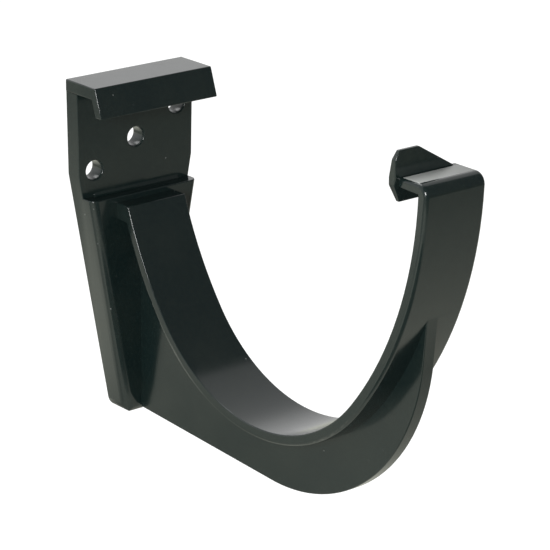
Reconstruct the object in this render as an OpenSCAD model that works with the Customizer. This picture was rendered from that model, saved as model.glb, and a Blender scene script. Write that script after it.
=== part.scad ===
// Fascia bracket for a deep, round-bottomed plastic rainwater gutter.
// One injection moulding: a back plate that is screwed to the wall, a hook along
// its top that holds the gutter's back edge, a U-shaped strap that the gutter lies
// in, a stiffening web under the strap, and a snap clip for the gutter's front edge.
//
// Frame: +Z up, +X along the gutter, the wall is the plane Y = 0 and the bracket
// stands out towards -Y. The origin is on the axis of the middle screw hole.
// Lengths are in millimetres and angles in degrees. A "drop" is measured down from
// the plate's top edge, and a "reach" out from the wall.

/* [Back plate] */
// Width of the plate at its top edge
plate_w = 37.5; // [34:0.5:50]
// Thickness of the plate round the screw holes
plate_t = 4.9; // [3.5:0.1:6]
// Height of the whole plate, from the hook to the tail
plate_h = 93.2; // [92.8:0.1:110]
// Drop at which the sides start to taper
taper_drop = 25.3; // [20:0.1:29]
// How much narrower the plate is there than at its top
taper_start_loss = 0.8; // [0:0.1:2]
// Width across the plate's sides at the tail
tail_w = 11.8; // [11:0.1:20]

/* [Boss] */
// Drop to the top of the thick boss that carries the strap
boss_drop = 31.3; // [30:0.1:32]
// Thickness of the boss
boss_t = 9; // [7.5:0.1:10]
// Radius of the boss's long front edges and of its tail
boss_edge_r = 3.5; // [1:0.1:3.8]
// Radius of the inside corner between plate and boss
boss_fillet_r = 1.1; // [0.3:0.1:2]
// Thickness of the boss's walls round the hollows in its back
boss_wall = 3.2; // [2.4:0.1:3.6]
// Thickness of the rib between those two hollows
boss_rib_t = 2.8; // [1.6:0.1:4]

/* [Screw holes] */
// Diameter of each screw hole
hole_d = 5.3; // [4:0.1:6]
// Drop to the middle hole
hole_drop = 17.55; // [16:0.05:20]
// Sideways distance from the middle hole to each outer hole
hole_dx = 13.4; // [9:0.1:14]
// Height difference between the middle hole and each outer hole
hole_dz = 6.7; // [4:0.1:7]

/* [Hook] */
// Reach of the hook's top
hook_reach = 12.75; // [11:0.05:13]
// Thickness of the hook's top wall
hook_top_t = 3.2; // [2:0.1:4]
// Drop to the bottom of the hook's lip
hook_lip_drop = 7.65; // [6:0.05:9]
// How far the lip leans outwards over that drop
hook_lip_lean = 2.65; // [0:0.05:3.5]
// Thickness of the lip
hook_lip_t = 2.6; // [1.6:0.1:3.2]

/* [Gutter seat] */
// Clear width across the seat at its widest
seat_w = 115.8; // [112:0.1:125]
// Reach of the seat's nearest point
seat_gap = 7.8; // [7:0.1:9]
// Drop to the bottom of the seat
seat_drop = 77.3; // [74:0.1:79]
// Radius of the seat's bottom
seat_base_r = 46.9; // [44:0.1:50]
// Angle from straight down at which the bottom radius ends, on each side
seat_base_angle = 50.5; // [45:0.5:56]

/* [Strap] */
// Width of the strap along the gutter
strap_w = 18.7; // [14:0.1:22]
// Thickness of the strap
strap_t = 2.9; // [2.2:0.1:3.6]
// Radius of the strap's two outer edges
strap_edge_r = 1.0; // [0.4:0.1:1.8]
// Drop to the strap's rear end
strap_rear_drop = 32.8; // [32.2:0.1:36]
// Height of the solid root that joins that end to the boss
strap_root_h = 4.5; // [2:0.1:8]

/* [Web] */
// Thickness of the web under the strap
web_t = 3.6; // [2:0.1:5]
// Drop to the web's lower edge at the boss
web_drop = 91.6; // [88:0.1:92]
// How far that edge falls from the boss to its lowest point
web_fall = 3; // [1:0.1:5]
// Radius of the web's round nose
web_nose_r = 52.8; // [48:0.1:56]
// Reach of the nose's round part
web_reach = 119.1; // [117:0.1:120]
// Angle at which the edge above the nose leans out to the strap
web_lean = 5; // [3:0.5:8]

/* [Clip] */
// Height of the clip's bridge above the plate's top edge
bridge_rise = 0.3; // [-2:0.1:3]
// Thickness of the bridge
bridge_t = 2.4; // [1.6:0.1:3.2]
// Clear distance between the tab and the strap under the bridge
clip_gap = 6.1; // [4.5:0.1:9]
// Thickness of the tab where it meets the bridge
tab_t = 2.4; // [1.6:0.1:3.2]
// Thickness of the tab at its upper and lower ends
tab_tip_t = 1.1; // [0.8:0.1:1.5]
// Width of the tab at the bridge
tab_w = 21.5; // [18:0.1:28]
// Height of the tab above the bridge
tab_rise = 6.5; // [4:0.1:10]
// Width of the tab's flat top
tab_top_w = 6.1; // [3:0.1:8]
// How far the tab reaches down below the bridge
tab_fall = 4; // [2:0.1:5]
// Drop from the bridge's top to the place where the tab is widest
tab_waist_drop = 1.9; // [0.5:0.1:2.4]
// Width of the cut corner between the tab's upright end and its top
tab_shoulder_w = 1.1; // [0.3:0.1:2.5]
// Width that each slanted lower corner takes off the tab
tab_corner_w = 2.5; // [0.5:0.1:4]

/* [Hidden] */

$fn = 128;
// Overlap with which the solids of the moulding run into each other
weld = 0.2;
// A hair's breadth, which keeps two faces that would lie on each other apart
skin = 0.01;
// Angle by which a swept piece runs into the next
lap = 0.8;
// The same for the small crown
crown_lap = 4;
// Angle by which the strap's rear side is swept past its end before it is cut level
past_end = 4;
// Over-cut that keeps the ends of a cut open
over = 1;
// Larger than the bracket, for half-spaces
far = 300;

// Heights in the row frame, whose zero is the middle hole
top_z = hole_drop;
taper_z = top_z - taper_drop;
boss_z = top_z - boss_drop;
tail_z = top_z - plate_h;
strap_rear_z = top_z - strap_rear_drop;
bridge_z = top_z + bridge_rise;

// Below the start of the taper the plate's sides lean in
taper_half = (plate_w - taper_start_loss) / 2;
tail_half = tail_w / 2;
side_lean = atan((taper_half - tail_half) / (taper_z - tail_z));
function half_width(z) = tail_half + (z - tail_z) * tan(side_lean);

// Centre of the tail's rounded corners, and of the rods along the boss's edges
corner_z = tail_z + boss_edge_r;
corner_x = half_width(corner_z) - boss_edge_r / cos(side_lean);

// The seat is three arcs that run into each other: a base and two flatter sides.
// The sides' radius follows from the width that they have to reach.
seat_half = seat_w / 2;
seat_mid = seat_gap + seat_half;
seat_side_r = seat_base_r + (seat_half - seat_base_r) / (1 - sin(seat_base_angle));
base_z = top_z - seat_drop + seat_base_r;
side_shift = (seat_side_r - seat_base_r) * sin(seat_base_angle);
side_z = base_z + (seat_side_r - seat_base_r) * cos(seat_base_angle);

// Angle above straight down at which a side arc reaches a height
function side_angle(z) = 90 - asin((side_z - z) / seat_side_r);
// Reach of the seat at an angle on its rear or front side
function rear_reach(angle) = seat_mid + side_shift - seat_side_r * sin(angle);
function front_reach(angle) = seat_mid - side_shift + seat_side_r * sin(angle);

// The strap's rear end, and the crown where the strap turns back into the bridge
rear_angle = side_angle(strap_rear_z);
crown_z = bridge_z - strap_t;
crown_angle = side_angle(crown_z);
crown_reach = front_reach(crown_angle);
tab_front = crown_reach - clip_gap;
tab_low_z = bridge_z - bridge_t - tab_fall;

// The web's lower edge runs straight from the boss to its round nose, and above the
// nose its edge runs straight up into the strap
nose = [web_reach - web_nose_r, top_z - web_drop - web_fall + web_nose_r];
nose_in = web_nose_r - skin;
web_start = [boss_t - weld, top_z - web_drop];
to_nose = nose - web_start;
web_slope = atan2(to_nose[1], to_nose[0]) - asin(nose_in / norm(to_nose));
web_touch = nose + nose_in * [sin(web_slope), -cos(web_slope)];
nose_top = nose + nose_in * [cos(web_lean), -sin(web_lean)];
web_tip = nose_top + (strap_rear_z - nose_top[1]) * [tan(web_lean), 1];

// Lays a drawing of (reach, height) on its side, w wide along the gutter
module across(w) {
    mirror([0, 1, 0]) rotate([90, 0, 90]) linear_extrude(w, center = true) children();
}

// Stands a drawing of (place along the gutter, height) on the wall, to a given reach
module outwards(reach) {
    rotate([90, 0, 0]) linear_extrude(reach) children();
}

// Sweeps a drawing of (radius, place along the gutter) round an axis along the
// gutter. An angle of 0 points away from the wall, and -90 points down.
module bend(reach, height, from, to) {
    mirror([0, 1, 0])
        translate([0, reach, height])
            rotate([90, 0, 90])
                rotate([0, 0, from])
                    rotate_extrude(angle = to - from)
                        children();
}

// What the round corner at one side of the tail takes off a sharp one
module tail_corner_cut() {
    reach = 3 * boss_edge_r;
    translate([corner_x, corner_z])
        difference() {
            polygon([
                [0, 0], reach * [cos(side_lean), -sin(side_lean)],
                reach * [1, -1], [0, -reach]
            ]);
            circle(r = boss_edge_r - skin);
        }
}

// The whole plate seen from the front: sides almost upright at the top and tapering
// below, with round corners at the tail
module plate_outline() {
    difference() {
        polygon([
            [-plate_w / 2, top_z], [plate_w / 2, top_z], [taper_half, taper_z],
            [tail_half, tail_z], [-tail_half, tail_z], [-taper_half, taper_z]
        ]);
        tail_corner_cut();
        mirror([1, 0]) tail_corner_cut();
    }
}

// Bar with one round edge. It lies along Z with that edge at X = 0, on its outer side.
module edge_bar() {
    mirror([0, 1, 0])
        linear_extrude(2 * far, center = true) {
            translate([-far, 0]) square([far, boss_t - boss_edge_r]);
            translate([-far, 0]) square([far - boss_edge_r, boss_t]);
            translate([-boss_edge_r, boss_t - boss_edge_r]) circle(r = boss_edge_r);
        }
}

// Thick lower part of the plate, rounded along its front edges and along its tail
module boss() {
    intersection() {
        outwards(boss_t)
            intersection() {
                plate_outline();
                translate([-far, boss_z - far]) square([2 * far, far]);
            }
        translate([tail_half + skin, 0, tail_z]) rotate([0, side_lean, 0]) edge_bar();
        translate([-tail_half - skin, 0, tail_z]) mirror([1, 0, 0]) rotate([0, side_lean, 0]) edge_bar();
        translate([0, 0, tail_z - skin]) rotate([0, 90, 0]) edge_bar();
    }
}

// Two hollows in the boss's back, one each side of a rib in line with the web, so
// that the moulding's walls are about as thick there as everywhere else
module boss_hollows() {
    high_z = boss_z - boss_wall;
    low_z = corner_z + boss_wall;
    side_wall = boss_wall / cos(side_lean);
    for (side = [-1, 1])
        translate([0, over, 0])
            outwards(over + boss_t - boss_wall)
                polygon([
                    [side * boss_rib_t / 2, high_z],
                    [side * (half_width(high_z) - side_wall), high_z],
                    [side * (half_width(low_z) - side_wall), low_z],
                    [side * boss_rib_t / 2, low_z]
                ]);
}

// Inside corner between the plate's front and the top of the boss
module boss_fillet() {
    across(2 * half_width(boss_z) - 2 * boss_edge_r)
        difference() {
            translate([plate_t - weld, boss_z - weld])
                square(boss_fillet_r + weld);
            translate([plate_t + boss_fillet_r, boss_z + boss_fillet_r])
                circle(r = boss_fillet_r);
        }
}

// Hook along the top edge: a top wall and a lip that leans outwards
module hook() {
    lip_reach = hook_reach + hook_lip_lean;
    lean_at_roof = hook_lip_lean * hook_top_t / hook_lip_drop;
    across(plate_w)
        polygon([
            [0, top_z], [hook_reach, top_z],
            [lip_reach, top_z - hook_lip_drop],
            [lip_reach - hook_lip_t, top_z - hook_lip_drop],
            [hook_reach + lean_at_roof - hook_lip_t, top_z - hook_top_t],
            [0, top_z - hook_top_t]
        ]);
}

// Three screw holes on a slanting line through the middle one
module screw_holes() {
    for (i = [-1, 0, 1])
        translate([i * hole_dx, over, i * hole_dz])
            rotate([90, 0, 0])
                cylinder(d = hole_d, h = plate_t + 2 * over);
}

// Section of the strap as (distance out from the seat, place along the gutter): flat
// inside, with both outer edges rounded
module strap_section(thickness, inset = 0) {
    half = strap_w / 2 - inset;
    flat = half - strap_edge_r;
    rim = thickness - inset - strap_edge_r;
    translate([inset, -flat]) square([thickness - 2 * inset, 2 * flat]);
    translate([inset, -half]) square([rim - inset, 2 * half]);
    for (side = [-1, 1])
        translate([rim, side * flat]) circle(r = strap_edge_r);
}

// The strap: rear side, base and front side, each a sweep of one section. The base
// is a hair thinner all round, and its ends run into the two sides.
module strap() {
    intersection() {
        bend(seat_mid + side_shift, side_z, -90 - rear_angle - past_end, -90 - seat_base_angle)
            translate([seat_side_r, 0]) strap_section(strap_t);
        translate([-far, -far, strap_rear_z - far]) cube([2 * far, 2 * far, far]);
    }
    bend(seat_mid, base_z, -90 - seat_base_angle - lap, -90 + seat_base_angle + lap)
        translate([seat_base_r, 0]) strap_section(strap_t, skin);
    bend(seat_mid - side_shift, side_z, -90 + seat_base_angle, -90 + crown_angle)
        translate([seat_side_r, 0]) strap_section(strap_t);
}

// Solid root between the boss and the strap's rear end
module strap_root() {
    high_z = strap_rear_z - skin;
    low_z = strap_rear_z - strap_root_h;
    inside = strap_t / 2;
    across(strap_w - 2 * skin)
        polygon([
            [boss_t - weld, high_z],
            [rear_reach(rear_angle) - inside, high_z],
            [rear_reach(side_angle(low_z)) - inside, low_z],
            [boss_t - weld, low_z]
        ]);
}

// Everything within the seat's outline, moved out by a given distance
module seat_space(out) {
    translate([seat_mid, base_z]) circle(r = seat_base_r + out);
    difference() {
        intersection_for (side = [-1, 1])
            translate([seat_mid + side * side_shift, side_z]) circle(r = seat_side_r + out);
        translate([seat_mid, base_z])
            polygon([
                [0, 0],
                far * [-sin(seat_base_angle), -cos(seat_base_angle)],
                far * [sin(seat_base_angle), -cos(seat_base_angle)]
            ]);
    }
}

// Web between the boss and the strap, with its round nose running up into the strap
module web() {
    across(web_t)
        difference() {
            union() {
                translate(nose) circle(r = web_nose_r);
                polygon([web_start, web_touch, nose_top, web_tip, [web_start[0], web_tip[1]]]);
            }
            seat_space(strap_t / 2);
            // The plate above the strap's rear end stays clear of the web
            translate([0, strap_rear_z - weld]) square(far);
        }
}

// The strap's top turned back towards the wall. It is a hair thinner than the strap
// and runs into it.
module crown() {
    half = strap_w / 2 - skin;
    rim = strap_t - skin;
    bend(crown_reach, crown_z, crown_angle - 90 - crown_lap, 90) {
        translate([0, -half]) square([rim - strap_edge_r, 2 * half]);
        translate([0, strap_edge_r - half]) square([rim, 2 * (half - strap_edge_r)]);
        for (side = [-1, 1])
            translate([rim - strap_edge_r, side * (half - strap_edge_r)]) circle(r = strap_edge_r);
    }
}

// Flat bridge from the crown to the tab
module bridge() {
    start = tab_front - tab_t / 2;
    translate([0, -start, bridge_z - bridge_t])
        rotate([0, -90, 90])
            linear_extrude(crown_reach + weld - start)
                strap_section(bridge_t);
}

// Outline of the tab seen from the front: tall at one end, sloping to the other
module tab_outline() {
    high_z = bridge_z + tab_rise;
    waist_z = bridge_z - tab_waist_drop;
    polygon([
        [-tab_w / 2, waist_z],
        [-tab_w / 2, high_z - 2 * tab_shoulder_w],
        [-tab_w / 2 + tab_shoulder_w, high_z],
        [-tab_w / 2 + tab_shoulder_w + tab_top_w, high_z],
        [tab_w / 2, waist_z],
        [tab_w / 2 - tab_corner_w, tab_low_z],
        [-tab_w / 2 + tab_corner_w, tab_low_z]
    ]);
}

// Upright tab behind the strap: it thins towards its top, and below the bridge its
// front slants back, so that the gutter's front bead snaps in beneath it
module tab() {
    high_z = bridge_z + tab_rise;
    back = tab_front - tab_t;
    intersection() {
        outwards(far) tab_outline();
        across(far)
            polygon([
                [tab_front, bridge_z], [tab_front, high_z], [tab_front - tab_tip_t, high_z],
                [back, bridge_z], [back, tab_low_z], [back + tab_tip_t, tab_low_z]
            ]);
    }
}

// The plate with everything that is screwed flat against the wall
module back_plate() {
    difference() {
        union() {
            outwards(plate_t) plate_outline();
            boss();
            boss_fillet();
            hook();
        }
        screw_holes();
        boss_hollows();
    }
}

// Everything that stands out from the plate to carry the gutter
module cradle() {
    union() {
        strap();
        strap_root();
        web();
        crown();
        bridge();
        tab();
    }
}

module bracket_body() {
    color("#14191a") {
        back_plate();
        cradle();
    }
}

bracket_body();
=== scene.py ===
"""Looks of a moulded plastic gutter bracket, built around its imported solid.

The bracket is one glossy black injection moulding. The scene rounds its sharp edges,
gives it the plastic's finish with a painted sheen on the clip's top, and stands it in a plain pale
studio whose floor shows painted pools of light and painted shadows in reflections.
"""

from __future__ import annotations

import logging
import math
from dataclasses import dataclass, field
from enum import Enum
from typing import Any, Iterable

import bmesh
import bpy
from mathutils import Matrix, Vector

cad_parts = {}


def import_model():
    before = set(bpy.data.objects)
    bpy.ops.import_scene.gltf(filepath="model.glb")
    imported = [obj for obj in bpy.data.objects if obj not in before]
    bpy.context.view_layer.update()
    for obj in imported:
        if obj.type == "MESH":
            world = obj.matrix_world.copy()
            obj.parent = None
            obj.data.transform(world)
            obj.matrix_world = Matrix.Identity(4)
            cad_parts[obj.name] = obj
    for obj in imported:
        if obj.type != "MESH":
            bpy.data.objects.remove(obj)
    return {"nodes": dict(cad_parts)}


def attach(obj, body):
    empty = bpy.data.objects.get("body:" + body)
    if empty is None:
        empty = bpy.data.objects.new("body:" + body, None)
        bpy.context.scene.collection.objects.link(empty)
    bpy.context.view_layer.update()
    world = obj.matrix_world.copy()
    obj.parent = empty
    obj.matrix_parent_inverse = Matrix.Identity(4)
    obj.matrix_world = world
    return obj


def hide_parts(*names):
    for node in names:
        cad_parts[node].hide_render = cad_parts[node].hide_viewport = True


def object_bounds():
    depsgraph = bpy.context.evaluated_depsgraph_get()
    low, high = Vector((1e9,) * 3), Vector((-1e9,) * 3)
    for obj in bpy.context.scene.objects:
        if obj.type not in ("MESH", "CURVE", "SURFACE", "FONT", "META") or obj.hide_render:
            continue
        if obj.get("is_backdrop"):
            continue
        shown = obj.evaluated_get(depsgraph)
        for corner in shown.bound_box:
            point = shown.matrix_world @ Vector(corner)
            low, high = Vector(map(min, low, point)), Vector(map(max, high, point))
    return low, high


LOG = logging.getLogger("gutter_bracket")
Place = tuple[float, float, float]
Colour = tuple[float, float, float]
Paint = tuple[float, float, float, float]
Range = tuple[float, float]


class Rank(Enum):
    """How strongly a face rules the shading at its corners."""

    ROUNDING = -16384
    CURVED = 0
    FLAT = 16384


@dataclass(frozen=True)
class Value:
    """A shader socket that takes part in sums, products and comparisons."""

    graph: "Graph"
    socket: Any

    def _math(self, operation: str, *others: Any, swap: bool = False) -> "Value":
        """Adds a Math node.

        Args:
            operation: The Math node's operation.
            *others: The other operands, values or numbers.
            swap: Whether this value comes second.

        Returns:
            The node's result.
        """
        operands = [self, *others]
        if swap:
            operands.reverse()
        settings = {"operation": operation}
        return self.graph.node("ShaderNodeMath", settings, dict(enumerate(operands)))

    def __add__(self, other: Any) -> "Value":
        """Sum."""
        return self._math("ADD", other)

    __radd__ = __add__

    def __sub__(self, other: Any) -> "Value":
        """Difference."""
        return self._math("SUBTRACT", other)

    def __rsub__(self, other: Any) -> "Value":
        """Difference, with this value taken away."""
        return self._math("SUBTRACT", other, swap=True)

    def __mul__(self, other: Any) -> "Value":
        """Product."""
        return self._math("MULTIPLY", other)

    __rmul__ = __mul__

    def ramp(self, low: float, high: float) -> "Value":
        """Rises smoothly from 0 at low to 1 at high.

        Args:
            low: Value at which the result is 0.
            high: Value at which the result is 1.

        Returns:
            The ramp's height.
        """
        settings = {"interpolation_type": "SMOOTHSTEP"}
        return self.graph.node("ShaderNodeMapRange", settings, {0: self, 1: low, 2: high})


@dataclass
class Graph:
    """A node tree that is being built."""

    tree: bpy.types.NodeTree

    def node(
        self, kind: str, settings: dict[str, Any], inputs: dict[Any, Any], output: Any = 0
    ) -> Value:
        """Adds one node.

        Args:
            kind: The node's type.
            settings: Properties of the node, set first.
            inputs: Socket name or number to a Value to link or a plain value.
            output: Name or number of the socket to return.

        Returns:
            The chosen output.
        """
        made = self.tree.nodes.new(kind)
        for name, value in settings.items():
            setattr(made, name, value)
        for name, value in inputs.items():
            if isinstance(value, Value):
                self.tree.links.new(value.socket, made.inputs[name])
            else:
                made.inputs[name].default_value = value
        return Value(self, made.outputs[output] if made.outputs else None)

    def mix(self, factor: Any, first: Any, second: Any) -> Value:
        """Mixes two colours.

        Args:
            factor: Share of the second colour.
            first: Colour at 0.
            second: Colour at 1.

        Returns:
            The mixed colour.
        """
        settings = {"data_type": "RGBA"}
        return self.node("ShaderNodeMix", settings, {0: factor, 6: first, 7: second}, output=2)

    def part(self, vector: Any, axis: str) -> Value:
        """One coordinate of a vector.

        Args:
            vector: The vector.
            axis: X, Y or Z.

        Returns:
            The coordinate.
        """
        return self.node("ShaderNodeSeparateXYZ", {}, {0: vector}, output=axis)

    def coordinates(self, kind: str) -> Value:
        """The point, direction or normal that the surface is shaded for.

        Args:
            kind: The Texture Coordinate node's output.

        Returns:
            The vector.
        """
        return self.node("ShaderNodeTexCoord", {}, {}, output=kind)

    def place(self, scale: float = 1.0, shift: Place = (0.0, 0.0, 0.0)) -> Value:
        """The point on the object, scaled and shifted.

        Args:
            scale: Factor on all three coordinates.
            shift: Added to them afterwards.

        Returns:
            A vector in the object's own frame.
        """
        point = self.coordinates("Object")
        inputs = {"Vector": point, "Scale": (scale,) * 3, "Location": shift}
        return self.node("ShaderNodeMapping", {}, inputs)

    def noise(
        self, size: float, detail: float = 2.0, shift: Place = (0.0, 0.0, 0.0)
    ) -> Value:
        """Soft noise between about 0.3 and 0.7.

        Args:
            size: Size of its patches, in metres.
            detail: Number of finer layers.
            shift: Moves the pattern.

        Returns:
            The noise's height.
        """
        return self.node(
            "ShaderNodeTexNoise",
            {"noise_dimensions": "3D"},
            {"Vector": self.place(1.0 / size, shift), "Scale": 1.0, "Detail": detail},
        )


def grey(level: float) -> Paint:
    """A neutral colour of a given level."""
    return (level, level, level, 1.0)


@dataclass(frozen=True)
class MouldedPlastic:
    """Glossy black injection-moulded plastic, slightly green and blue in its depth.

    Attributes:
        name: The material's name.
        slot: Name of a material slot; not used.
        pigment: The plastic's own colour.
        dull_pigment: Its colour where it flowed less smoothly.
        flow_size: Size of the broad patches of flow.
        smear_size: Size of the finer smears in its gloss.
        mottle_size: Size of the mottling in its colour.
        gloss_roughness: Roughness where it is glossiest.
        dull_roughness: Roughness where it is dullest.
        index: Refractive index.
        ripple_size: Width of the sink ripples of the surface.
        ripple_height: Their height.
        grain_size: Width of the surface's grain.
        grain_share: Its height as a share of the ripples'.
        dust: Colour of the dust specks.
        dust_cover: How much of the colour a speck hides.
        dust_roughness: Roughness that a speck adds.
        speck_spacing: Spacing of the specks.
        speck_radius: Their radius as a share of the spacing.
        speck_patch: Size of the areas that have specks.
        painted_sheen_low_x: Painted sheen of the clip's top at its low-X end: pale colour in place
            of the bright reflection it shows, paler where the tab hides that reflection.
        painted_sheen_high_x: Painted sheen of the clip's top at its high-X end.
        painted_sheen_reach: X between which the first fades into the second.
        rub_roughness: Roughness that the wear adds.
        sheen_and_scuff_depth: Back and front of the place with the painted sheen and the added
            roughness, along Y.
        sheen_and_scuff_side: Its outer side, along X.
        sheen_and_scuff_height: Height above which it lies.
        sheen_and_scuff_facing: How far up a face has to look to carry the painted sheen and the
            added roughness.
    """

    name: str = "moulded_black_plastic"
    slot: str = "black_plastic"
    pigment: Colour = (0.0055, 0.0125, 0.0125)
    dull_pigment: Colour = (0.0115, 0.0185, 0.0165)
    flow_size: float = 0.016
    smear_size: float = 0.0045
    mottle_size: float = 0.0009
    gloss_roughness: float = 0.13
    dull_roughness: float = 0.21
    index: float = 1.50
    ripple_size: float = 0.011
    ripple_height: float = 0.000018
    grain_size: float = 0.0006
    grain_share: float = 0.01
    dust: Colour = (0.20, 0.21, 0.20)
    dust_cover: float = 0.6
    dust_roughness: float = 0.3
    speck_spacing: float = 0.0042
    speck_radius: float = 0.035
    speck_patch: float = 0.02
    painted_sheen_low_x: Colour = (0.60, 0.62, 0.60)
    painted_sheen_high_x: Colour = (0.25, 0.26, 0.25)
    painted_sheen_reach: Range = (-0.014, 0.010)
    rub_roughness: float = 0.34
    sheen_and_scuff_depth: Range = (-0.1179, -0.1233)
    sheen_and_scuff_side: float = -0.0088
    sheen_and_scuff_height: float = 0.0142
    sheen_and_scuff_facing: Range = (0.90, 0.97)

    def specks(self, graph: Graph) -> Value:
        """Tiny pale dust specks, thinly strewn.

        Args:
            graph: The material's tree.

        Returns:
            1 on a speck and 0 between them.
        """
        cell = graph.node(
            "ShaderNodeTexVoronoi",
            {"feature": "F1"},
            {"Vector": graph.place(1.0 / self.speck_spacing), "Scale": 1.0, "Randomness": 1.0},
            output="Distance",
        )
        thin = graph.noise(self.speck_patch, 1.0, (3.1, 0.4, 7.7)).ramp(0.50, 0.62)
        return (1 - cell.ramp(self.speck_radius, self.speck_radius * 1.8)) * thin

    def painted_sheen_and_scuff(self, graph: Graph) -> Value:
        """The top of the clip, painted pale in place of the bright reflection it shows (a painted
        sheen), and made rougher as if scuffed.

        Args:
            graph: The material's tree.

        Returns:
            1 on the clip's top and 0 elsewhere.
        """
        edge = 0.0001
        back, front = self.sheen_and_scuff_depth
        place = graph.coordinates("Object")
        along = graph.part(place, "Y")
        inside = along.ramp(front - edge, front + edge) * (1 - along.ramp(back - edge, back + edge))
        inside = inside * graph.part(place, "X").ramp(self.sheen_and_scuff_side - 2 * edge, self.sheen_and_scuff_side)
        inside = inside * graph.part(place, "Z").ramp(self.sheen_and_scuff_height - 4 * edge, self.sheen_and_scuff_height)
        return inside * graph.part(graph.coordinates("Normal"), "Z").ramp(*self.sheen_and_scuff_facing)

    def colour(self, graph: Graph, flow: Value, specks: Value, painted_sheen_and_scuff: Value) -> Value:
        """The plastic's colour.

        Args:
            graph: The material's tree.
            flow: How unevenly it flowed.
            specks: 1 on a dust speck.
            painted_sheen_and_scuff: 1 on the clip's top, which carries the painted sheen.

        Returns:
            The colour.
        """
        mottle = graph.noise(self.mottle_size, 2.0, (4.0, 1.0, 9.0)).ramp(0.30, 0.70)
        dull = 0.5 * flow + 0.5 * mottle
        base = graph.mix(dull, (*self.pigment, 1.0), (*self.dull_pigment, 1.0))
        # Painted sheen: the clip's top is painted pale in place of its bright reflection, and paler
        # at low X where the tab hides that reflection.
        aside = graph.part(graph.coordinates("Object"), "X").ramp(*self.painted_sheen_reach)
        painted_sheen = graph.mix(aside, (*self.painted_sheen_low_x, 1.0), (*self.painted_sheen_high_x, 1.0))
        base = graph.mix(painted_sheen_and_scuff, base, painted_sheen)
        return graph.mix(specks * self.dust_cover, base, (*self.dust, 1.0))

    def build(self) -> bpy.types.Material:
        """Makes the material.

        Returns:
            The finished material.
        """
        material = bpy.data.materials.new(self.name)
        material.use_nodes = True
        material.node_tree.nodes.clear()
        graph = Graph(material.node_tree)
        flow = graph.noise(self.flow_size, 3.0).ramp(0.35, 0.68)
        smear = graph.noise(self.smear_size, 4.0, (5.0, 2.0, 1.0)).ramp(0.45, 0.75)
        specks = self.specks(graph)
        painted_sheen_and_scuff = self.painted_sheen_and_scuff(graph)
        spread = self.dull_roughness - self.gloss_roughness
        roughness = self.gloss_roughness + spread * (0.6 * flow + 0.4 * smear)
        roughness = roughness + painted_sheen_and_scuff * self.rub_roughness + specks * self.dust_roughness
        ripples = graph.noise(self.ripple_size, 1.0, (1.0, 8.0, 2.0))
        grain = graph.noise(self.grain_size, 2.0)
        height = ripples * self.ripple_height + grain * (self.ripple_height * self.grain_share)
        inputs = {"Strength": 1.0, "Distance": 1.0, "Height": height}
        normal = graph.node("ShaderNodeBump", {}, inputs, output="Normal")
        shader = graph.node(
            "ShaderNodeBsdfPrincipled",
            {},
            {
                "Base Color": self.colour(graph, flow, specks, painted_sheen_and_scuff),
                "Roughness": roughness,
                "IOR": self.index,
                "Normal": normal,
            },
        )
        graph.node("ShaderNodeOutputMaterial", {}, {"Surface": shader})
        return material


@dataclass(frozen=True)
class Viewpoint:
    """The camera, placed in the bracket's own frame."""

    place: Place = (-0.41619, -0.56301, 0.20280)
    azimuth: float = -39.70
    elevation: float = 19.11
    roll: float = 0.57
    lens: float = 181.57
    sensor: float = 36.0
    shift: Range = (0.0022, 0.0015)
    clip: Range = (0.01, 50.0)

    def build(self) -> bpy.types.Object:
        """Makes the camera and looks through it.

        Returns:
            The camera.
        """
        around, above, lean = (math.radians(v) for v in (self.azimuth, self.elevation, self.roll))
        turn = Matrix.Rotation(around, 4, "Z") @ Matrix.Rotation(math.pi / 2 - above, 4, "X")
        data = bpy.data.cameras.new("camera")
        data.lens = self.lens
        data.sensor_width = self.sensor
        data.shift_x, data.shift_y = self.shift
        data.clip_start, data.clip_end = self.clip
        camera = bpy.data.objects.new("camera", data)
        camera.matrix_world = Matrix.Translation(self.place) @ turn @ Matrix.Rotation(lean, 4, "Z")
        bpy.context.scene.collection.objects.link(camera)
        bpy.context.scene.camera = camera
        return camera


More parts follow.
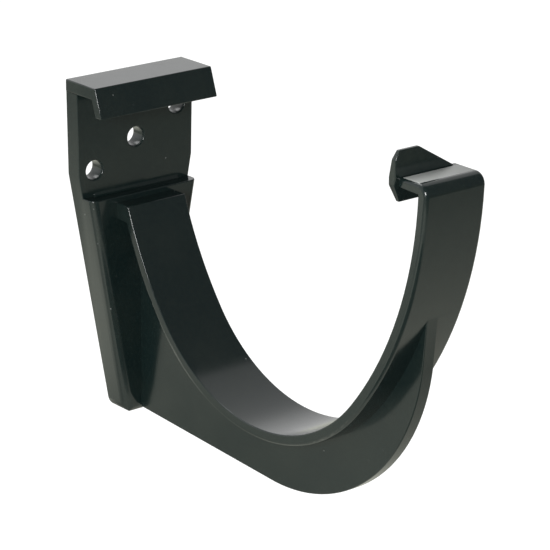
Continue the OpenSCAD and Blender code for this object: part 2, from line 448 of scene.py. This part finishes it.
@dataclass
class Moulding:
    """The bracket itself: a copy of its solid with its sharp outer edges eased.

    Attributes:
        node: The solid's node.
        body: The body that it rides on.
        weld: Distance at which corners are joined.
        flat_angle: Degrees below which faces count as one plane.
        sharp_angle: Degrees above which an edge beside two broad faces is eased.
        step: How broad those faces are at least.
        steep_angle: Degrees above which an edge beside a narrow face is eased too.
        sliver: How broad that face is at least.
        crease_angle: Degrees above which the shading breaks.
        smooth_angle: Degrees up to which faces belong to one curve.
        narrow_width: Mean width below which a face is part of a rounding.
        small_area: Area below which a face doesn't rule the shading.
        rank_layer: The face layer that the weighted normals read.
        ease: Width of the eased edges.
        ease_steps: Faces across an eased edge.
        holes: Where the screw holes' axes leave the wall.
        hole_radius: Their radius.
        hole_slack: How far a corner of a rim may be off its circle.
        rim_slack: How far the ends of a rim's edge may differ in depth.
        hole_cuts: Corners added between two of a rim.
        boss_wall: X and Z of the direction that a side of the boss faces.
        boss_reach: How far out along that direction the side lies.
        boss_front: Depth of the boss's front face.
        boss_depth: Depths between which the middle of a corner's strip lies.
        boss_lean: How far a strip faces sideways, at least and at most.
        boss_tilt: How far forward a strip faces at least.
        boss_strip: Its smallest area.
        boss_cut: Height down to which the corners are drawn in.
        boss_draw: Share of the corner's rounding that is taken up.
        finish: The plastic.
    """

    node: str = "bracket_body"
    body: str = "root"
    weld: float = 0.00004
    flat_angle: float = 0.5
    sharp_angle: float = 25.0
    steep_angle: float = 60.0
    sliver: float = 0.00008
    step: float = 0.0004
    crease_angle: float = 42.0
    smooth_angle: float = 12.0
    narrow_width: float = 0.0007
    small_area: float = 0.00006
    rank_layer: str = "__mod_weightednormals_faceweight"
    ease: float = 0.0003
    ease_steps: int = 3
    holes: tuple[Place, ...] = (
        (0.0, 0.0, 0.0),
        (-0.0134, 0.0, -0.0067),
        (0.0134, 0.0, -0.0067),
    )
    hole_radius: float = 0.00265
    hole_slack: float = 0.00006
    rim_slack: float = 0.0001
    hole_cuts: int = 3
    boss_wall: Range = (0.9837, -0.1800)
    boss_reach: float = 0.0194468
    boss_front: float = -0.0090
    boss_depth: Range = (-0.0090, -0.0055)
    boss_lean: Range = (0.03, 0.97)
    boss_tilt: float = 0.10
    boss_strip: float = 0.000008
    boss_cut: float = -0.0690
    boss_draw: float = 0.40
    finish: MouldedPlastic = field(default_factory=MouldedPlastic)

    def round_hole(self, mesh: bmesh.types.BMesh, middle: Vector) -> None:
        """Gives a screw hole's wall more sides.

        Args:
            mesh: The surface.
            middle: A point on the hole's axis, which runs along Y.
        """

        def reach(vertex: bmesh.types.BMVert) -> float:
            """Distance of a corner from the hole's axis."""
            return math.hypot(vertex.co.x - middle.x, vertex.co.z - middle.z)

        rim = [
            edge
            for edge in mesh.edges
            if all(abs(reach(end) - self.hole_radius) < self.hole_slack for end in edge.verts)
            and abs(edge.verts[0].co.y - edge.verts[1].co.y) < self.rim_slack
        ]
        parts = bmesh.ops.subdivide_edges(mesh, edges=rim, cuts=self.hole_cuts, use_grid_fill=True)
        for vertex in parts["geom_inner"]:
            if not isinstance(vertex, bmesh.types.BMVert):
                continue
            out = self.hole_radius / reach(vertex)
            vertex.co.x = middle.x + (vertex.co.x - middle.x) * out
            vertex.co.z = middle.z + (vertex.co.z - middle.z) * out

    def crisp_boss(self, mesh: bmesh.types.BMesh, side: int) -> None:
        """Draws one long front corner of the boss in to a smaller radius.

        Args:
            mesh: The surface.
            side: -1 or 1, for the corner's side of the middle.
        """

        def strips() -> list[bmesh.types.BMFace]:
            """The long faces that make up the corner's rounding."""
            least, most = self.boss_lean
            near, far = self.boss_depth
            return [
                face
                for face in mesh.faces
                if least < face.normal.x * side < most
                and face.normal.y < -self.boss_tilt
                and face.calc_area() > self.boss_strip
                and near < face.calc_center_median().y < far
            ]

        along = strips()
        edges = dict.fromkeys(edge for face in along for edge in face.edges)
        corners = dict.fromkeys(corner for face in along for corner in face.verts)
        bmesh.ops.bisect_plane(
            mesh,
            geom=[*along, *edges, *corners],
            dist=0.000001,
            plane_co=(0.0, 0.0, self.boss_cut),
            plane_no=(0.0, 0.0, 1.0),
        )
        mesh.normal_update()
        wall = Vector((side * self.boss_wall[0], 0.0, self.boss_wall[1]))
        for corner in dict.fromkeys(corner for face in strips() for corner in face.verts):
            if corner.co.z < self.boss_cut - self.rim_slack:
                continue
            inward = self.boss_reach - wall.dot(corner.co)
            corner.co.x += side * inward * self.boss_draw / self.boss_wall[0]
            corner.co.y -= (corner.co.y - self.boss_front) * self.boss_draw

    def rank_faces(self, mesh: bmesh.types.BMesh) -> None:
        """Says which faces rule the shading where faces meet smoothly.

        Args:
            mesh: The surface, still with its sharp edges.
        """
        ranks = mesh.faces.layers.int.new(self.rank_layer)
        flat, smooth = math.radians(self.flat_angle), math.radians(self.smooth_angle)
        narrow = {
            face: face.calc_area() < self.narrow_width * max(e.calc_length() for e in face.edges)
            for face in mesh.faces
        }
        for face in mesh.faces:
            bent = any(
                edge.is_manifold
                and flat < edge.calc_face_angle(0.0) < smooth
                and not all(narrow[other] for other in edge.link_faces if other is not face)
                for edge in face.edges
            )
            if narrow[face]:
                rank = Rank.ROUNDING
            elif bent or face.calc_area() < self.small_area:
                rank = Rank.CURVED
            else:
                rank = Rank.FLAT
            face[ranks] = rank.value

    def is_sharp(self, edge: bmesh.types.BMEdge) -> bool:
        """Tells a sharp outer edge from a step inside a rounding or a sliver's side.

        Args:
            edge: The edge to judge.

        Returns:
            Whether the edge is to be rounded.
        """
        if not (edge.is_manifold and edge.is_convex):
            return False
        height = min(
            2.0 * face.calc_area() / max(side.calc_length() for side in face.edges)
            for face in edge.link_faces
        )
        angle = math.degrees(edge.calc_face_angle(0.0))
        steep = angle > self.steep_angle and height > self.sliver
        return steep or (angle > self.sharp_angle and height > self.step)

    def eased(self, source: bpy.types.Object) -> bmesh.types.BMesh:
        """Copies the solid and rounds its sharp outer edges.

        Args:
            source: The solid's own object.

        Returns:
            The new surface.
        """
        mesh = bmesh.new()
        mesh.from_mesh(source.data)
        bmesh.ops.remove_doubles(mesh, verts=mesh.verts, dist=self.weld)
        bmesh.ops.dissolve_degenerate(mesh, edges=mesh.edges, dist=self.weld)
        bmesh.ops.dissolve_limit(
            mesh, angle_limit=math.radians(self.flat_angle), verts=mesh.verts, edges=mesh.edges
        )
        for hole in self.holes:
            self.round_hole(mesh, Vector(hole))
        mesh.normal_update()
        for side in (-1, 1):
            self.crisp_boss(mesh, side)
        mesh.normal_update()
        self.rank_faces(mesh)
        rounded = bmesh.ops.bevel(
            mesh,
            geom=[edge for edge in mesh.edges if self.is_sharp(edge)],
            offset=self.ease,
            segments=self.ease_steps,
            profile=0.5,
            affect="EDGES",
            material=-1,
            clamp_overlap=False,
        )
        ranks = mesh.faces.layers.int[self.rank_layer]
        for face in rounded["faces"]:
            face[ranks] = Rank.ROUNDING.value
        mesh.normal_update()
        return mesh

    def build(self, source: bpy.types.Object) -> bpy.types.Object:
        """Makes the visible moulding.

        Args:
            source: The solid's own object.

        Returns:
            The visible piece.
        """
        data = bpy.data.meshes.new("moulding")
        mesh = self.eased(source)
        for face in mesh.faces:
            face.smooth = True
        for edge in mesh.edges:
            edge.smooth = edge.calc_face_angle(0.0) < math.radians(self.crease_angle)
        mesh.to_mesh(data)
        mesh.free()
        data.materials.append(self.finish.build())
        piece = bpy.data.objects.new("moulding", data)
        bpy.context.scene.collection.objects.link(piece)
        steady = piece.modifiers.new("steady_normals", "WEIGHTED_NORMAL")
        steady.mode = "CORNER_ANGLE"
        steady.weight = 50
        steady.keep_sharp = True
        steady.use_face_influence = True
        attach(piece, self.body)
        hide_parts(self.node)
        return piece


@dataclass(frozen=True)
class Spot:
    """A round soft painted patch of light on the floor, seen in reflections; with a negative level
    it is a painted shadow.

    Attributes:
        level: Brightness it adds; below zero it is a painted shadow.
        middle: Its middle, on the floor.
        reach: Distances at which it starts to fade and ends.
    """

    level: float
    middle: Place
    reach: Range


@dataclass(frozen=True)
class Lamp:
    """A soft square lamp that faces the object.

    Attributes:
        name: Its name.
        place: Where it hangs.
        width: Its width and height.
        level: Its brightness in a mirror, where 1 is white.
    """

    name: str
    place: Place
    width: float
    level: float

    def build(self, target: Vector) -> None:
        """Hangs the lamp.

        Args:
            target: What it faces.
        """
        data = bpy.data.lights.new(self.name, "AREA")
        data.shape = "SQUARE"
        data.size = self.width
        data.energy = math.pi * self.width**2 * self.level
        lamp = bpy.data.objects.new(self.name, data)
        lamp.location = self.place
        lamp.rotation_euler = (target - Vector(self.place)).to_track_quat("-Z", "Y").to_euler()
        bpy.context.scene.collection.objects.link(lamp)


@dataclass(frozen=True)
class Studio:
    """A plain pale studio: a floor, a pale wall and ceiling behind, a dim room in front. In
    reflections the floor shows painted pools of light and painted shadows.

    Levels are brightness in reflections, where 1 is white. A pair of numbers says where
    a level starts to change and where it has changed.

    Attributes:
        floor_drop: How far the floor lies below the object.
        floor_size: The floor's width.
        floor_paint: Grey of its paint.
        floor_white: Light that its paint needs to look white.
        floor_tint: Colour of what it shows in reflections.
        room_level: The room in front.
        ceiling_level: The ceiling behind.
        ceiling_edge: Where it begins, as a direction's Y.
        wall_level: The wall behind.
        wall_edge: Where it begins, as a direction's Y.
        wall_top: Where it ends, as a direction's Z.
        wall_foot: Where the floor meets it, along Y.
        table_level: The painted pool of light on the floor about its middle.
        table_dim: The floor far from there, where the painted pool has faded.
        table_middle: The middle.
        table_reach: Distances from the middle.
        front_edge: Where the floor's bright part ends in front, along Y.
        painted_shadow_level: The painted shadow of the object on the floor before it.
        painted_shadow_way: The way in which it lies.
        painted_shadow_edge: Where it begins, along that way.
        painted_shadow_middle: Its middle.
        painted_shadow_reach: Distances from that middle.
        painted_light_and_shadow_spots: The other painted pools of light and painted shadows on the
            floor.
        lamps: The lamps.
    """

    floor_drop: float = 0.10
    floor_size: float = 5.0
    floor_paint: float = 0.50
    floor_white: float = 0.72
    floor_tint: Paint = (1.0, 1.02, 0.88, 1.0)
    room_level: float = 0.17
    ceiling_level: float = 0.80
    ceiling_edge: Range = (0.03, 0.09)
    wall_level: float = 1.14
    wall_edge: Range = (0.50, 0.74)
    wall_top: Range = (0.28, 0.60)
    wall_foot: Range = (0.62, 0.72)
    table_level: float = 0.71
    table_dim: float = 0.35
    table_middle: Place = (-0.036, 0.045, 0.0)
    table_reach: Range = (0.16, 0.85)
    front_edge: Range = (-0.565, -0.525)
    painted_shadow_level: float = 0.15
    painted_shadow_way: Place = (-0.707, -0.707, 0.0)
    painted_shadow_edge: Range = (0.128, 0.148)
    painted_shadow_middle: Place = (-0.123, -0.226, 0.0)
    painted_shadow_reach: Range = (0.165, 0.180)
    painted_light_and_shadow_spots: tuple[Spot, ...] = (
        Spot(0.90, (-0.046, 0.25, 0.0), (0.079, 0.136)),
        Spot(0.59, (-0.306, -0.237, 0.0), (0.12, 0.34)),
        Spot(-0.36, (-0.013, 0.194, 0.0), (0.11, 0.21)),
        Spot(0.60, (-0.45, 0.33, 0.0), (0.06, 0.12)),
    )
    lamps: tuple[Lamp, ...] = (
        Lamp("overhead", (-0.10, 0.90, 1.40), 0.90, 3.1),
        Lamp("window", (-1.02, -0.78, 0.36), 0.42, 27.0),
        Lamp("side_panel", (-1.10, -0.28, -0.02), 0.30, 2.5),
    )

    def floor(self, low: Vector) -> bpy.types.Object:
        """Makes the floor.

        Args:
            low: Lowest corner of the object.

        Returns:
            The floor.
        """
        mesh = bmesh.new()
        bmesh.ops.create_grid(mesh, x_segments=1, y_segments=1, size=self.floor_size / 2)
        data = bpy.data.meshes.new("floor")
        mesh.to_mesh(data)
        mesh.free()
        data.materials.append(self.floor_material())
        floor = bpy.data.objects.new("floor", data)
        floor.location.z = low.z - self.floor_drop
        bpy.context.scene.collection.objects.link(floor)
        floor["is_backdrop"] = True
        return floor

    def dimmed(self, graph: Graph, colour: Paint, level: Value) -> Value:
        """A colour at a level that changes from place to place.

        Args:
            graph: The tree that it is in.
            colour: The colour at full level.
            level: The level.

        Returns:
            The dimmed colour.
        """
        inputs = {0: colour[:3], "Scale": level}
        return graph.node("ShaderNodeVectorMath", {"operation": "SCALE"}, inputs, output="Vector")

    def floor_glow(self, graph: Graph) -> Value:
        """How bright each place of the floor is in reflections: a painted pool of light about its
        middle, painted spots of light and shadow, and the painted shadow of the object before it.

        Args:
            graph: The floor material's tree.

        Returns:
            The brightness.
        """

        def measure(operation: str, other: Place) -> Value:
            """A number worked out from a place on the floor and another vector."""
            inputs = {0: point, 1: other}
            return graph.node("ShaderNodeVectorMath", {"operation": operation}, inputs, "Value")

        point = graph.coordinates("Object")
        # Painted pool of light: the floor's reflected glow is brightest about table_middle and
        # fades away from it.
        far = measure("DISTANCE", self.table_middle).ramp(*self.table_reach)
        table = self.table_level - far * (self.table_level - self.table_dim)
        # Painted pools of light, and painted shadows where a spot's level is negative.
        for spot in self.painted_light_and_shadow_spots:
            table = table + (1 - measure("DISTANCE", spot.middle).ramp(*spot.reach)) * spot.level
        # Painted shadow of the object on the floor before it.
        near = measure("DOT_PRODUCT", self.painted_shadow_way).ramp(*self.painted_shadow_edge)
        near = near * (1 - measure("DISTANCE", self.painted_shadow_middle).ramp(*self.painted_shadow_reach))
        depth = graph.part(point, "Y")
        table = self.room_level + depth.ramp(*self.front_edge) * (table - self.room_level)
        table = table + near * (self.painted_shadow_level - table)
        return table + depth.ramp(*self.wall_foot) * (self.wall_level - table)

    def floor_material(self) -> bpy.types.Material:
        """Matt pale paint that keeps shadows and is plain white to the camera.

        Returns:
            The floor's material.
        """
        material = bpy.data.materials.new("floor_paint")
        material.use_nodes = True
        material.node_tree.nodes.clear()
        graph = Graph(material.node_tree)
        seen = graph.node("ShaderNodeLightPath", {}, {}, output="Is Camera Ray")
        mirrored = graph.node("ShaderNodeLightPath", {}, {}, output="Is Glossy Ray")
        paint = graph.node("ShaderNodeBsdfDiffuse", {}, {"Color": grey(self.floor_paint)})
        white = self.dimmed(graph, grey(self.floor_white), seen)
        lift = graph.node("ShaderNodeEmission", {}, {"Color": white})
        plain = graph.node("ShaderNodeAddShader", {}, {0: paint, 1: lift})
        # In reflections the floor shows this painted glow of light and shadow instead of its lit
        # paint.
        pattern = self.dimmed(graph, self.floor_tint, self.floor_glow(graph))
        glow = graph.node("ShaderNodeEmission", {}, {"Color": pattern})
        shown = graph.node("ShaderNodeMixShader", {}, {0: mirrored, 1: plain, 2: glow})
        graph.node("ShaderNodeOutputMaterial", {}, {"Surface": shown})
        return material

    def surroundings(self) -> None:
        """The world: white to the camera, pale behind and above, dim in front."""
        world = bpy.data.worlds.new("studio")
        bpy.context.scene.world = world
        world.use_nodes = True
        world.node_tree.nodes.clear()
        graph = Graph(world.node_tree)
        seen = graph.node("ShaderNodeLightPath", {}, {}, output="Is Camera Ray")
        direction = graph.coordinates("Generated")
        behind, height = graph.part(direction, "Y"), graph.part(direction, "Z")
        ceiling = behind.ramp(*self.ceiling_edge) * (self.ceiling_level - self.room_level)
        wall = behind.ramp(*self.wall_edge) * (1 - height.ramp(*self.wall_top))
        level = self.room_level + ceiling + wall * (self.wall_level - self.ceiling_level)
        shown = self.dimmed(graph, grey(1.0), level + seen * (1 - level))
        glow = graph.node("ShaderNodeBackground", {}, {"Color": shown})
        graph.node("ShaderNodeOutputWorld", {}, {"Surface": glow})

    def build(self, low: Vector, high: Vector) -> None:
        """Makes the floor, the surroundings and the lamps.

        Args:
            low: Lowest corner of the object.
            high: Highest corner of the object.
        """
        self.floor(low)
        self.surroundings()
        for lamp in self.lamps:
            lamp.build((low + high) / 2)


def main() -> None:
    """Builds the scene in order and logs the moulding's face count."""
    logging.basicConfig(level=logging.INFO)
    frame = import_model()
    solid_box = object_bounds()
    Viewpoint().build()
    piece = Moulding().build(frame["nodes"]["bracket_body"])
    LOG.info("dressed %s with %d faces", piece.name, len(piece.data.polygons))
    Studio().build(*solid_box)
    bpy.context.scene.view_settings.view_transform = "Standard"


if __name__ == "__main__":
    main()
